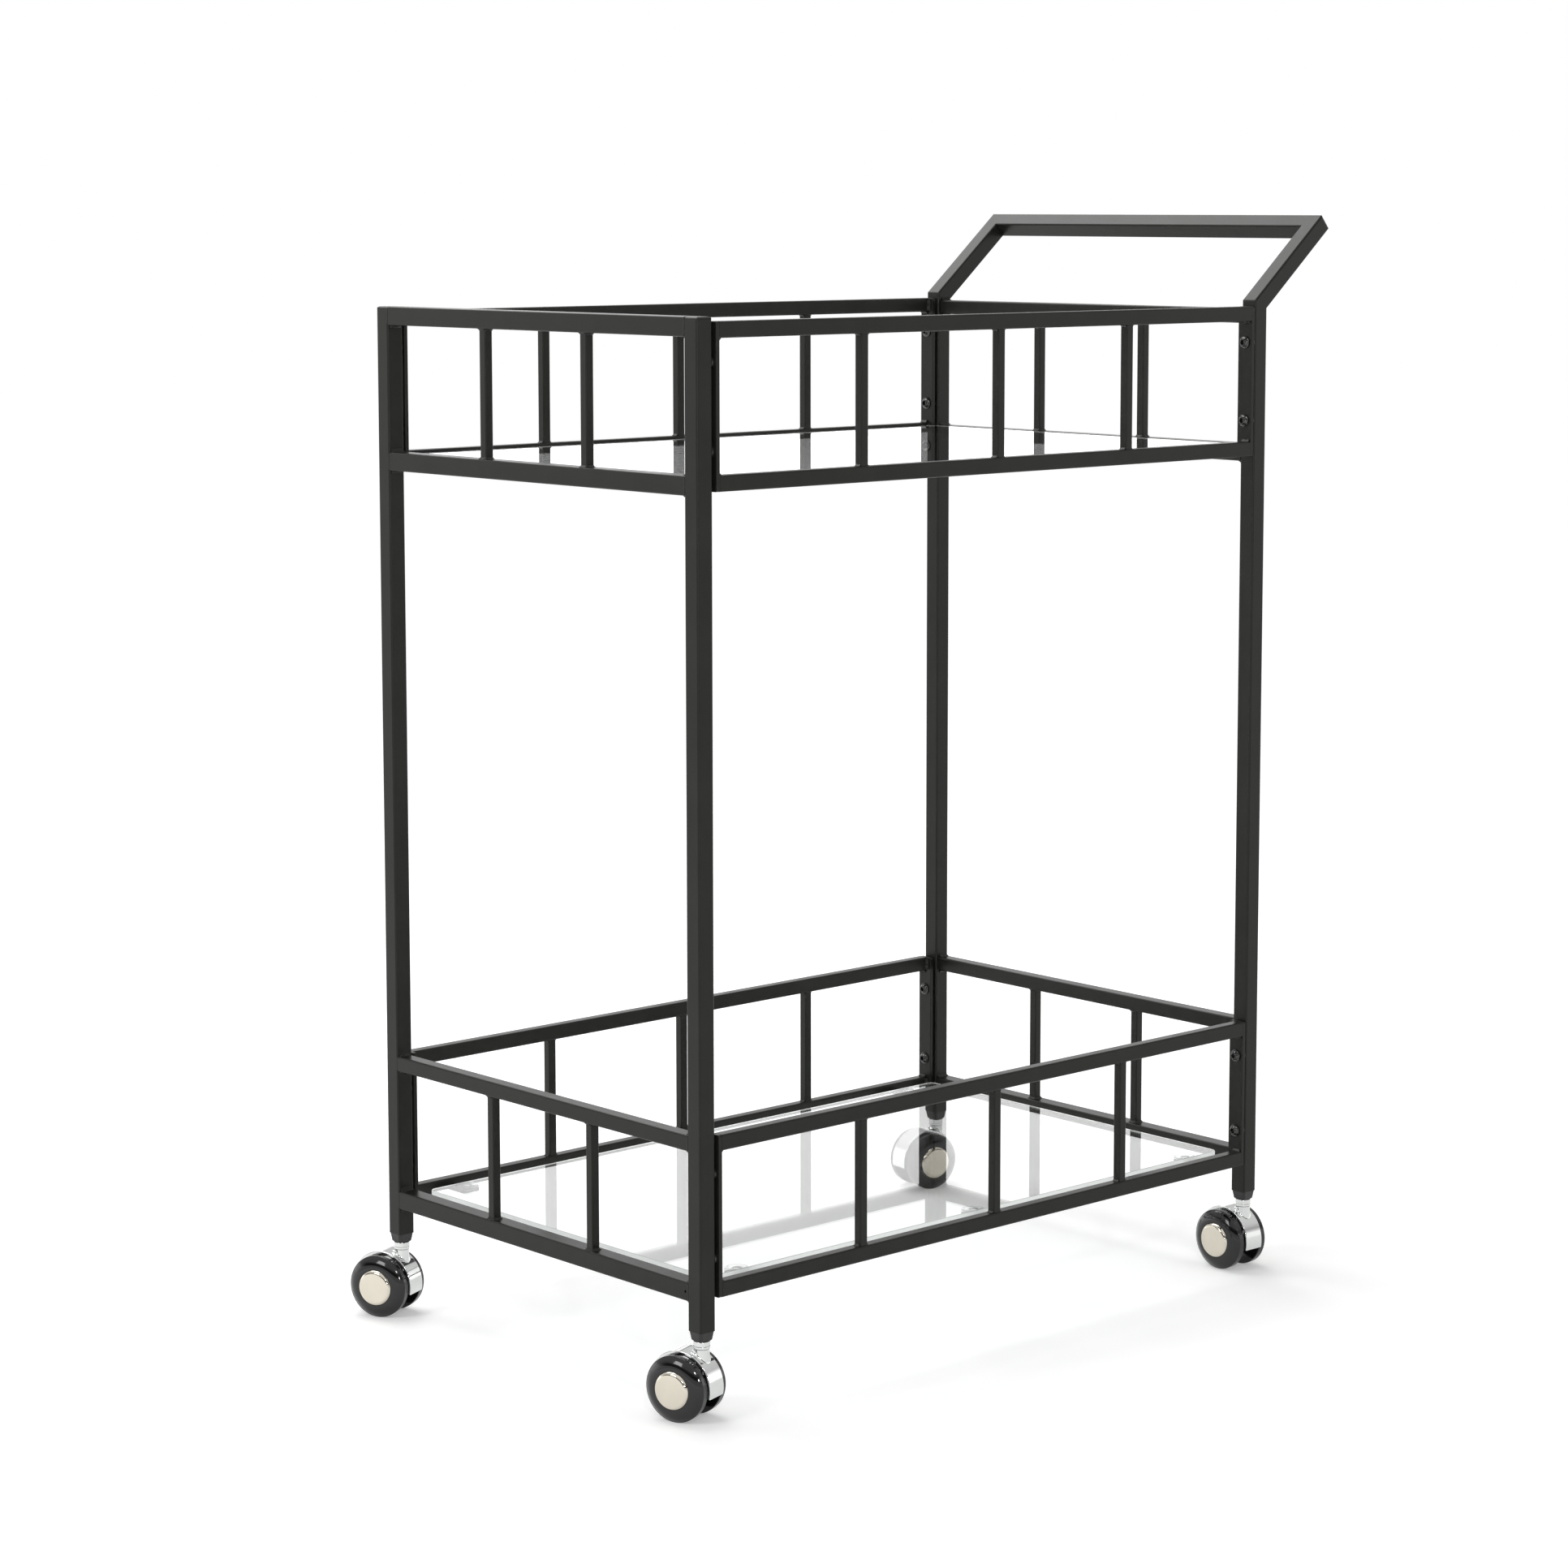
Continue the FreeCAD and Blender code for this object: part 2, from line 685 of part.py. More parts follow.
def caster_wheel(hand):
    """Wheel with a narrow tread, a rounded shoulder and a shallow dome to its cap."""
    bore = axle_radius + wheel_running_fit
    hub_face = hood_web_half_width + hub_side_gap
    seat = cap_rim - cap_seat_depth
    recess = cap_radius + cap_clearance
    bevel_a = wheel_inner_face + wheel_inner_bevel
    bevel_r = wheel_radius - wheel_inner_bevel
    shoulder_a = tread_outer_edge + wheel_shoulder_width
    shoulder_r = wheel_radius - wheel_shoulder_depth
    bulge_a = tread_outer_edge + wheel_shoulder_width * math.sqrt(0.5)
    bulge_r = shoulder_r + wheel_shoulder_depth * math.sqrt(0.5)
    dome_a = (shoulder_a + wheel_dome_edge) / 2 + wheel_dome_swell
    dome_r = (shoulder_r + recess) / 2
    outline = [
        line(hub_face, bore, hub_face, wheel_hub_radius),
        line(hub_face, wheel_hub_radius, wheel_inner_face, wheel_hub_radius),
        line(wheel_inner_face, wheel_hub_radius, wheel_inner_face, bevel_r),
        line(wheel_inner_face, bevel_r, bevel_a, wheel_radius),
        line(bevel_a, wheel_radius, tread_outer_edge, wheel_radius),
        arc(tread_outer_edge, wheel_radius, bulge_a, bulge_r, shoulder_a, shoulder_r),
        arc(shoulder_a, shoulder_r, dome_a, dome_r, wheel_dome_edge, recess),
        line(wheel_dome_edge, recess, seat, recess),
        line(seat, recess, seat, bore),
        line(seat, bore, hub_face, bore),
    ]
    return revolve_about_axle(outline, hand)


def caster_cap(hand):
    """Cap pressed into the wheel's recess, its shallow dome rolled over to the rim, flat at its centre."""
    seat = cap_rim - cap_seat_depth
    face_a = cap_crown - cap_face_rise
    tilt = 2 * math.atan(cap_face_rise / cap_face_radius)
    drop = face_a - cap_rim
    spread = cap_radius - cap_face_radius
    roll = (drop ** 2 + spread ** 2) / (2 * (drop * math.cos(tilt) - spread * math.sin(tilt)))
    roll_a = face_a - roll * math.cos(tilt)
    roll_r = cap_face_radius - roll * math.sin(tilt)
    turn = (tilt + math.atan2(cap_radius - roll_r, cap_rim - roll_a)) / 2
    sphere_radius = cap_face_radius / math.sin(tilt)
    dome_a = cap_crown - sphere_radius * (1 - math.cos(tilt / 2))
    outline = [
        line(seat, 0, seat, cap_radius),
        line(seat, cap_radius, cap_rim, cap_radius),
        arc(cap_rim, cap_radius, roll_a + roll * math.cos(turn), roll_r + roll * math.sin(turn),
            face_a, cap_face_radius),
        arc(face_a, cap_face_radius, dome_a, sphere_radius * math.sin(tilt / 2),
            cap_crown, cap_centre_radius),
        line(cap_crown, cap_centre_radius, cap_crown, 0),
        line(cap_crown, 0, seat, 0),
    ]
    return revolve_about_axle(outline, hand)


def swivelled(shape, site):
    """Turn a caster's part from its own frame, trail along +X, to its heading on the cart."""
    turned = shape.copy()
    turned.rotate(place(0, 0, 0), Z, trail_heading[site])
    turned.translate(caster_sites()[site])
    return turned


# ---------------------------------------------------------------- the whole cart

os.makedirs("parts", exist_ok=True)

for side, y_sign in sides.items():
    export("post_plain_" + side, plain_post(y_sign))
    export("post_handle_" + side, handle_post(y_sign))
    export("handle_arm_" + side, handle_arm(y_sign))
    export(side + "_panel_plates", panel_plates(y_sign))
    for tier, low_z in tiers.items():
        export(side + "_" + tier + "_rails", panel_rails(y_sign, low_z))
        export(side + "_" + tier + "_spindles", panel_spindles(y_sign, low_z))
export("handle_crossbar", handle_crossbar())

for end, x_sign in ends.items():
    for rail, (low_z, size) in end_rail_heights(end).items():
        solid = end_rail(x_sign, low_z, size)
        if (end, rail) == ("plain", "base_rail"):
            solid = solid.cut(vent_hole(low_z))
        export(end + "_" + rail, solid)
    export(end + "_end_spindles", end_spindles(end))

export("panel_screws", panel_screws())
export("rivet_nuts", rivet_nuts())
export("shelf_tabs", shelf_tabs())
export("glass_pads", glass_pads())
for tier in tiers:
    export(tier + "_shelf_glass", shelf_glass(tier))

sites = caster_sites()
export("caster_sockets", [caster_socket().translated(axis) for axis in sites.values()])
export("caster_stems", [caster_stem().translated(axis) for axis in sites.values()])
for site in sites:
    name = "caster_" + site
    export(name + "_hood", swivelled(caster_hood(), site))
    export(name + "_axle", swivelled(caster_axle(), site))
    for wheel_side, hand in (("left", 1), ("right", -1)):
        export(name + "_wheel_" + wheel_side, swivelled(caster_wheel(hand), site))
        export(name + "_cap_" + wheel_side, swivelled(caster_cap(hand), site))
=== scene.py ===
import math

import bmesh
import bpy
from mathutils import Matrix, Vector


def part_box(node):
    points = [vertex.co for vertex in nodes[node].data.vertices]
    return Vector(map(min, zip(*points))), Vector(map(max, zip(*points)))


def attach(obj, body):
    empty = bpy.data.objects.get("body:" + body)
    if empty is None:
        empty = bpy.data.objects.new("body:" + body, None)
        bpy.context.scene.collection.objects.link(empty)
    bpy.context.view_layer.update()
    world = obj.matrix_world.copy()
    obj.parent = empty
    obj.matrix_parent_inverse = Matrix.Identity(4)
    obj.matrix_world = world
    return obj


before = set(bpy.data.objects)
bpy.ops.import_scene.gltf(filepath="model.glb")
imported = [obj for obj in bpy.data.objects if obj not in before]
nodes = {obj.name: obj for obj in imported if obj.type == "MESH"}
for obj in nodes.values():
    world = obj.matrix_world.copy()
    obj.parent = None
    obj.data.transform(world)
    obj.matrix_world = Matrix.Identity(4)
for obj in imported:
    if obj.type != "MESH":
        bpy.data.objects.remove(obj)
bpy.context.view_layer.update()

# ------------------------------------------------------------ camera
# A long lens at waist height, turned to the corner where the plain end and
# the front long side meet.
camera_data = bpy.data.cameras.new("view")
camera_data.lens = 88.323
camera_data.sensor_width = 36
camera_data.shift_x = -0.02736
camera_data.shift_y = -0.08
camera_data.clip_end = 100
camera = bpy.data.objects.new("view", camera_data)
camera.location = (-2.16721, -2.35126, 0.92278)
camera_pitch = math.radians(6.767)
camera_yaw = math.radians(42.601)
camera.rotation_euler = (math.pi / 2 - camera_pitch, 0, -camera_yaw)
bpy.context.scene.collection.objects.link(camera)
bpy.context.scene.camera = camera
bpy.context.scene.view_settings.view_transform = "Standard"


# ------------------------------------------------------------ floor
# A seamless white studio sweep, matt, on which the cart leaves only soft
# contact shadows. Away from the cart it brightens to the backdrop's white.
def new_material(name):
    """Empty node material, with its tree and its output node."""
    material = bpy.data.materials.new(name)
    material.use_nodes = True
    tree = material.node_tree
    tree.nodes.clear()
    return material, tree, tree.nodes.new("ShaderNodeOutputMaterial")


def add(tree, kind, settings=(), **inputs):
    """New node. Inputs go by name, or by place as i0, i1, and take a value or a link."""
    node = tree.nodes.new(kind)
    for key, value in dict(settings).items():
        setattr(node, key, value)
    for key, value in inputs.items():
        by_place = key[0] == "i" and key[1:].isdigit()
        socket = node.inputs[int(key[1:]) if by_place else key.replace("_", " ")]
        if isinstance(value, bpy.types.NodeSocket):
            tree.links.new(value, socket)
        else:
            socket.default_value = value
    return node


def maths(tree, operation, *values):
    """Result of a Math node on values or links."""
    inputs = {"i" + str(place): value for place, value in enumerate(values)}
    return add(tree, "ShaderNodeMath", {"operation": operation}, **inputs).outputs[0]


def noise(tree, place, **settings):
    """Noise between 0 and 1 over a place."""
    return add(tree, "ShaderNodeTexNoise", Vector=place, **settings).outputs["Fac"]


def ranged(tree, value, **limits):
    """Value carried from one range to another, each 0 to 1 where nothing is said."""
    return add(tree, "ShaderNodeMapRange", Value=value, **limits).outputs[0]


def own_place(tree):
    """Place on the piece, in metres."""
    return add(tree, "ShaderNodeTexCoord").outputs["Object"]


def seen_ray(tree):
    """1 for camera, glossy and transmitted rays, 0 for the rays that carry light."""
    path = add(tree, "ShaderNodeLightPath").outputs
    either = maths(tree, "MAXIMUM", path["Is Camera Ray"], path["Is Glossy Ray"])
    return maths(tree, "MAXIMUM", either, path["Is Transmission Ray"])


floor_half = 14.0
cart_reach = 0.5
white_from = 2.2
glow_near = 0.27
glow_far = 0.62
paper_dull = 0.90
paper_clean = 0.94
floor_mesh = bpy.data.meshes.new("floor")
floor_mesh.from_pydata(
    [(-floor_half, -floor_half, 0), (floor_half, -floor_half, 0),
     (floor_half, floor_half, 0), (-floor_half, floor_half, 0)], [], [(0, 1, 2, 3)])
floor = bpy.data.objects.new("floor", floor_mesh)
bpy.context.scene.collection.objects.link(floor)
floor_white, tree, output = new_material("floor_white")
place = own_place(tree)
distance = add(tree, "ShaderNodeVectorMath", {"operation": "LENGTH"}, i0=place).outputs["Value"]
fade = ranged(tree, distance, From_Min=cart_reach, From_Max=white_from,
              To_Min=glow_near, To_Max=glow_far)
mottle = noise(tree, place, Scale=7.0, Detail=4.0)
paper = ranged(tree, mottle, To_Min=paper_dull, To_Max=paper_clean)
matt = add(tree, "ShaderNodeBsdfDiffuse", Color=paper)
glow = add(tree, "ShaderNodeEmission", Strength=maths(tree, "MULTIPLY", fade, seen_ray(tree)))
both = add(tree, "ShaderNodeAddShader", i0=matt.outputs[0], i1=glow.outputs[0])
tree.links.new(both.outputs[0], output.inputs["Surface"])
floor_mesh.materials.append(floor_white)

# ------------------------------------------------------------ light
# An even white surround, soft boxes overhead and at the left, two small lamps
# near the camera. Polished parts mirror the backdrop, brightest low down, and
# on the near side a grey room with one dark band.
surround_strength = 0.42
glossy_extra = 0.70
near_side = (-0.68, -0.73, 0.0)
# (height, grey): height is 0 for level rays and 1 for rays straight up.
room_tones = ((0.0, 0.55), (0.17, 0.55), (0.22, 0.03), (0.36, 0.03), (0.50, 0.47), (1.0, 0.60))
backdrop_tones = ((0.0, 1.0), (0.20, 1.0), (0.31, 0.42), (1.0, 0.60))
world = bpy.data.worlds.new("surround")
bpy.context.scene.world = world
world.use_nodes = True
tree = world.node_tree
tree.nodes.clear()
toward = add(tree, "ShaderNodeTexCoord").outputs["Generated"]
height = add(tree, "ShaderNodeSeparateXYZ", Vector=toward).outputs["Z"]


def greys_by_height(tones):
    """Grey of the surround in the direction of a ray."""
    ramp = add(tree, "ShaderNodeValToRGB", Fac=height)
    while len(ramp.color_ramp.elements) < len(tones):
        ramp.color_ramp.elements.new(0.5)
    for stop, (position, grey) in zip(ramp.color_ramp.elements, tones):
        stop.position = position
        stop.color = (grey, grey, grey, 1)
    return ramp.outputs[0]


def blended(tree, factor, first, second):
    """Colour between two colours."""
    return add(tree, "ShaderNodeMix", {"data_type": "RGBA"},
               i0=factor, i6=first, i7=second).outputs[2]


facing = add(tree, "ShaderNodeVectorMath", {"operation": "DOT_PRODUCT"},
             i0=toward, i1=near_side).outputs["Value"]
nearness = ranged(tree, facing, From_Min=-0.15, From_Max=0.25)
mirrored = blended(tree, nearness, greys_by_height(backdrop_tones), greys_by_height(room_tones))
glossy_ray = add(tree, "ShaderNodeLightPath").outputs["Is Glossy Ray"]
shown = blended(tree, glossy_ray, (1, 1, 1, 1), mirrored)
level = ranged(tree, seen_ray(tree), To_Min=surround_strength, To_Max=1.0)
level = maths(tree, "MULTIPLY_ADD", glossy_ray, glossy_extra, level)
surround = add(tree, "ShaderNodeBackground", Color=shown, Strength=level)
tree.links.new(surround.outputs[0], add(tree, "ShaderNodeOutputWorld").inputs["Surface"])

cart_middle = Vector((0, 0, 0.45))


def soft_box(name, place, size, power):
    """Square lamp at a place, facing the middle of the cart."""
    lamp = bpy.data.lights.new(name, "AREA")
    lamp.shape = "SQUARE"
    lamp.size = size
    lamp.energy = power
    holder = bpy.data.objects.new(name, lamp)
    holder.location = place
    holder.rotation_euler = (Vector(place) - cart_middle).to_track_quat("Z", "Y").to_euler()
    holder.visible_camera = False
    bpy.context.scene.collection.objects.link(holder)


soft_box("overhead", (0.10, 1.20, 2.45), size=2.0, power=42)
soft_box("left_box", (-2.60, 0.05, 1.75), size=0.9, power=19)
soft_box("high_lamp", (-1.74, -2.14, 1.64), size=0.16, power=8)
soft_box("low_lamp", (-1.59, -2.68, 0.85), size=0.16, power=8)


# ------------------------------------------------------------ frame tubes
# Mild steel square tube and bar, welded and powder coated in one charcoal
# coat, with the faint orange peel that a baked powder leaves.
def bumped(tree, height, strength, depth):
    """Normal of a finely raised surface."""
    return add(tree, "ShaderNodeBump", Strength=strength, Distance=depth,
               Height=height).outputs["Normal"]


coat_deep = (0.0094, 0.0099, 0.0079, 1)
coat_pale = (0.0142, 0.0149, 0.0120, 1)
coat_specular = 0.21
coat_smooth = 0.28
coat_rough = 0.40
grain_share = 0.35
frame_coat, tree, output = new_material("frame_coat")
place = own_place(tree)
peel = noise(tree, place, Scale=900.0, Detail=3.0, Roughness=0.55)
grain = noise(tree, place, Scale=3400.0, Detail=2.0)
cloud = noise(tree, place, Scale=34.0, Detail=5.0, Roughness=0.6)
tone = add(tree, "ShaderNodeValToRGB", Fac=cloud)
for stop, position, colour in zip(tone.color_ramp.elements, (0.30, 0.72), (coat_deep, coat_pale)):
    stop.position = position
    stop.color = colour
relief = maths(tree, "MULTIPLY_ADD", grain, grain_share, peel)
coat = add(tree, "ShaderNodeBsdfPrincipled", Base_Color=tone.outputs["Color"],
           Roughness=ranged(tree, cloud, To_Min=coat_smooth, To_Max=coat_rough),
           Normal=bumped(tree, relief, strength=0.10, depth=0.0004))
coat.inputs["Specular IOR Level"].default_value = coat_specular
tree.links.new(coat.outputs[0], output.inputs["Surface"])


def finish_node(name, material):
    """Give a CAD node its material."""
    mesh = nodes[name].data
    mesh.materials.clear()
    mesh.materials.append(material)


uncoated = ("panel_screws", "rivet_nuts", "glass_pads", "upper_shelf_glass", "lower_shelf_glass")
for name in nodes:
    if not name.startswith("caster") and name not in uncoated:
        finish_node(name, frame_coat)


# ------------------------------------------------------------ weld beads
# Steel run into every joint before coating: small hollow fillets where bar
# meets tube, and low seams ground almost flush with the end faces.
def socketed(group, direction, **kinds):
    """Named inputs or outputs of a node group."""
    for name, kind in kinds.items():
        group.interface.new_socket(name=name.replace("_", " "), in_out=direction,
                                   socket_type="NodeSocket" + kind)


bead_sides = 14
bead_tree = bpy.data.node_groups.new("weld_bead", "GeometryNodeTree")
socketed(bead_tree, "INPUT", Seams="Geometry", Bead_size="Float", Hollow="Float",
         Ripple="Float", Spacing="Float", Seed="Float", Coat="Material")
socketed(bead_tree, "OUTPUT", Bead="Geometry")
given = add(bead_tree, "NodeGroupInput").outputs
here = add(bead_tree, "GeometryNodeInputPosition").outputs[0]


def kept_place(curve, name):
    """Curve that carries its own places under a name."""
    return add(bead_tree, "GeometryNodeStoreNamedAttribute", {"data_type": "FLOAT_VECTOR"},
               Geometry=curve, Name=name, Value=here).outputs[0]


def stored(name):
    """Vector that was kept under a name."""
    return add(bead_tree, "GeometryNodeInputNamedAttribute", {"data_type": "FLOAT_VECTOR"},
               Name=name).outputs["Attribute"]


def vectors(operation, first, **second):
    """Result of a Vector Math node."""
    return add(bead_tree, "ShaderNodeVectorMath", {"operation": operation},
               i0=first, **second).outputs[0]


# A ring is swept along each seam, then every point of it is set out from the
# seam again: along the two leans, less between them, where it is hollow, and
# a little more or less at a lump.
run = add(bead_tree, "GeometryNodeMeshToCurve", Mesh=given["Seams"]).outputs["Curve"]
run = add(bead_tree, "GeometryNodeResampleCurve", {"mode": "LENGTH"},
          Curve=run, Length=given["Spacing"]).outputs["Curve"]
ring = add(bead_tree, "GeometryNodeCurvePrimitiveCircle", Resolution=bead_sides).outputs["Curve"]
swept = add(bead_tree, "GeometryNodeCurveToMesh", Curve=kept_place(run, "seam_at"),
            Profile_Curve=kept_place(ring, "around"), Fill_Caps=True).outputs[0]
turn = add(bead_tree, "ShaderNodeSeparateXYZ", Vector=stored("around")).outputs
between = maths(bead_tree, "MAXIMUM", maths(bead_tree, "MULTIPLY", turn["X"], turn["Y"]), 0.0)
pinch = maths(bead_tree, "MULTIPLY", between, maths(bead_tree, "MULTIPLY", given["Hollow"], 2.0))
lumps = add(bead_tree, "ShaderNodeTexNoise", {"noise_dimensions": "4D"}, Vector=stored("seam_at"),
            W=given["Seed"], Scale=420.0, Detail=2.0).outputs["Fac"]
swell = maths(bead_tree, "MULTIPLY", maths(bead_tree, "SUBTRACT", lumps, 0.5), given["Ripple"])
reach = maths(bead_tree, "MULTIPLY", given["Bead size"], maths(bead_tree, "ADD", swell, 1.0))
reach = maths(bead_tree, "MULTIPLY", reach, maths(bead_tree, "SUBTRACT", 1.0, pinch))
lean = vectors("ADD", vectors("SCALE", stored("lean_a"), Scale=turn["X"]),
               i1=vectors("SCALE", stored("lean_b"), Scale=turn["Y"]))
spot = vectors("ADD", stored("seam_at"), i1=vectors("SCALE", lean, Scale=reach))
bead = add(bead_tree, "GeometryNodeSetPosition", Geometry=swept, Position=spot).outputs[0]
bead = add(bead_tree, "GeometryNodeSetShadeSmooth", i0=bead).outputs[0]
bead = add(bead_tree, "GeometryNodeRealizeInstances", Geometry=bead).outputs[0]
bead = add(bead_tree, "GeometryNodeSetMaterial", Geometry=bead, Material=given["Coat"]).outputs[0]
add(bead_tree, "NodeGroupOutput", i0=bead)


weld_merge = 1e-7
solid_merge = 1e-6


def baked(name, mesh, group, **inputs):
    """Run a node group on a mesh and keep its result as a plain mesh piece."""
    source = bpy.data.objects.new(name + "_source", mesh)
    bpy.context.scene.collection.objects.link(source)
    modifier = source.modifiers.new("nodes", "NODES")
    modifier.node_group = group
    for socket in group.interface.items_tree:
        key = socket.name.replace(" ", "_")
        if socket.in_out == "INPUT" and key in inputs:
            modifier[socket.identifier] = inputs[key]
    depsgraph = bpy.context.evaluated_depsgraph_get()
    result = bpy.data.meshes.new_from_object(source.evaluated_get(depsgraph))
    source.modifiers.remove(modifier)
    bpy.data.objects.remove(source)
    closed = bmesh.new()
    closed.from_mesh(result)
    bmesh.ops.remove_doubles(closed, verts=closed.verts, dist=weld_merge)
    bmesh.ops.recalc_face_normals(closed, faces=closed.faces)
    closed.to_mesh(result)
    closed.free()
    result.name = name
    piece = bpy.data.objects.new(name, result)
    bpy.context.scene.collection.objects.link(piece)
    return piece


bead_spacing = 0.0006


def weld(name, seams, bead_size, hollow, ripple, seed):
    """One piece of bead. A seam is a list of (point, lean_a, lean_b) and a closed flag."""
    points = [step for steps, closed in seams for step in steps]
    edges = []
    first = 0
    for steps, closed in seams:
        last = first + len(steps) - 1
        edges += [(index, index + 1) for index in range(first, last)]
        edges += [(last, first)] if closed else []
        first = last + 1
    mesh = bpy.data.meshes.new(name + "_seams")
    mesh.from_pydata([point for point, lean_a, lean_b in points], edges, [])
    for column, attribute in ((1, "lean_a"), (2, "lean_b")):
        values = mesh.attributes.new(attribute, "FLOAT_VECTOR", "POINT")
        values.data.foreach_set("vector", [value for step in points for value in step[column]])
    piece = baked(name, mesh, bead_tree, Bead_size=bead_size, Hollow=hollow, Ripple=ripple,
                  Spacing=bead_spacing, Seed=seed, Coat=frame_coat)
    for attribute in ("seam_at", "around", "lean_a", "lean_b"):
        if attribute in piece.data.attributes:
            piece.data.attributes.remove(piece.data.attributes[attribute])
    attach(piece, "frame")


def straight(start, stop, lean_a, lean_b):
    """Open seam between two points, leaning the same way all along."""
    return ([(start, lean_a, lean_b), (stop, lean_a, lean_b)], False)


def solid_boxes(name):
    """Lowest and highest corner of each separate solid of a CAD node."""
    merged = bmesh.new()
    merged.from_mesh(nodes[name].data)
    bmesh.ops.remove_doubles(merged, verts=merged.verts, dist=solid_merge)
    boxes = []
    waiting = set(merged.verts)
    while waiting:
        group = []
        front = [waiting.pop()]
        while front:
            vertex = front.pop()
            group.append(vertex.co.copy())
            for edge in vertex.link_edges:
                other = edge.other_vert(vertex)
                if other in waiting:
                    waiting.remove(other)
                    front.append(other)
        boxes.append((Vector([min(values) for values in zip(*group)]),
                      Vector([max(values) for values in zip(*group)])))
    merged.free()
    return boxes


# The bars of the ends are welded all round, those of the side panels on their
# two sides along the rail. sides_along_x says which corner of a box lies on a
# side, and the way out of the box there.
up = Vector((0, 0, 1))
sides_along_x = ((0, Vector((-1, 0, 0))), (1, Vector((1, 0, 0))))
bar_round = 0.001
corner_steps = 3
ring_seams = []
for end in ("plain", "handle"):
    for low, high in solid_boxes(end + "_end_spindles"):
        middle = (low + high) / 2
        half = (high.x - low.x) / 2 - bar_round
        for z, away in ((low.z, up), (high.z, -up)):
            steps = []
            for corner, (sign_x, sign_y) in enumerate(((1, 1), (-1, 1), (-1, -1), (1, -1))):
                centre = Vector((middle.x + sign_x * half, middle.y + sign_y * half, z))
                for part in range(corner_steps + 1):
                    angle = math.radians(90 * corner) + math.radians(90 * part / corner_steps)
                    out = Vector((math.cos(angle), math.sin(angle), 0))
                    steps.append((centre + out * bar_round, out, away))
            ring_seams.append((steps, True))
side_seams = []
for panel in ("front_upper", "front_lower", "back_upper", "back_lower"):
    for corners in solid_boxes(panel + "_spindles"):
        low, high = corners
        for z, away in ((low.z, up), (high.z, -up)):
            for which, out in sides_along_x:
                x = corners[which].x
                side_seams.append(straight(Vector((x, low.y + bar_round, z)),
                                           Vector((x, high.y - bar_round, z)), out, away))
weld("end_spindle_welds", ring_seams, bead_size=0.0020, hollow=0.46, ripple=0.9, seed=3.0)
weld("panel_spindle_welds", side_seams, bead_size=0.0018, hollow=0.46, ripple=0.8, seed=11.0)

# The ends' rails are welded to the posts above and below, and flush with the
# outer face. The plain end's top rail is level with the posts' tops, so it has
# no fillet above.
fillet_gap = 0.0015
flush_gap = 0.0012
flush_depth = 0.0009
flush_inset = 0.0004
fillet_seams = []
flush_seams = []
for end, outward in (("plain", -1), ("handle", 1)):
    for rail in ("top", "tray", "guard", "base"):
        low, high = [Vector(corner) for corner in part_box(end + "_" + rail + "_rail")]
        face_x = low.x if outward < 0 else high.x
        seam_x = face_x - outward * flush_depth
        for y, inward in ((low.y, 1), (high.y, -1)):
            along = Vector((0, inward, 0))
            seam_y = y - inward * flush_inset
            for z, away in ((low.z, -up), (high.z, up)):
                if (end, rail, away) != ("plain", "top", up):
                    fillet_seams.append(straight(Vector((low.x + fillet_gap, y, z)),
                                                 Vector((high.x - fillet_gap, y, z)), along, away))
            flush_seams.append(straight(Vector((seam_x, seam_y, low.z + flush_gap)),
                                        Vector((seam_x, seam_y, high.z - flush_gap)),
                                        Vector((outward, 0, 0)), along))
weld("rail_fillet_welds", fillet_seams, bead_size=0.0032, hollow=0.58, ripple=0.35, seed=21.0)
weld("rail_flush_welds", flush_seams, bead_size=0.0011, hollow=0.0, ripple=0.35, seed=31.0)

# The side panels' rails are welded to their end plates inside the opening and
# down the inner face, and the shelf tabs along both sides of their roots.
plate_gap = 0.0012
tab_gap = 0.001
plate_seams = []
for side, inward in (("front", 1), ("back", -1)):
    for level in ("upper", "lower"):
        bars_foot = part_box(side + "_" + level + "_spindles")[0][2]
        for corners in solid_boxes(side + "_" + level + "_rails"):
            low, high = corners
            opening, away = (high.z, up) if low.z < bars_foot else (low.z, -up)
            inner_y = high.y if inward > 0 else low.y
            for which, out in sides_along_x:
                x = corners[which].x
                plate_seams.append(straight(Vector((x, low.y + plate_gap, opening)),
                                            Vector((x, high.y - plate_gap, opening)), -out, away))
                plate_seams.append(straight(Vector((x, inner_y, low.z + plate_gap)),
                                            Vector((x, inner_y, high.z - plate_gap)),
                                            -out, Vector((0, inward, 0))))
tab_seams = []
for low, high in solid_boxes("shelf_tabs"):
    root_y, inward = (low.y, 1) if low.y < 0 else (high.y, -1)
    for z, away in ((low.z, -up), (high.z, up)):
        tab_seams.append(straight(Vector((low.x + tab_gap, root_y, z)),
                                  Vector((high.x - tab_gap, root_y, z)),
                                  Vector((0, inward, 0)), away))
weld("panel_plate_welds", plate_seams, bead_size=0.0023, hollow=0.30, ripple=1.1, seed=41.0)
weld("shelf_tab_welds", tab_seams, bead_size=0.0016, hollow=0.40, ripple=0.9, seed=51.0)


# ------------------------------------------------------------ glass shelves
# Two plates of clear 4 mm float glass, lying loose on their pads, with
# polished faces and finely ground, eased edges.
def light_ray(tree):
    """1 for the rays that carry shadow and soft light, which pass clear pieces unbent."""
    path = add(tree, "ShaderNodeLightPath").outputs
    return maths(tree, "MAXIMUM", path["Is Shadow Ray"], path["Is Diffuse Ray"])


def mixed(tree, factor, first, second):
    """Shader between two shaders."""
    return add(tree, "ShaderNodeMixShader", i0=factor, i1=first.outputs[0], i2=second.outputs[0])


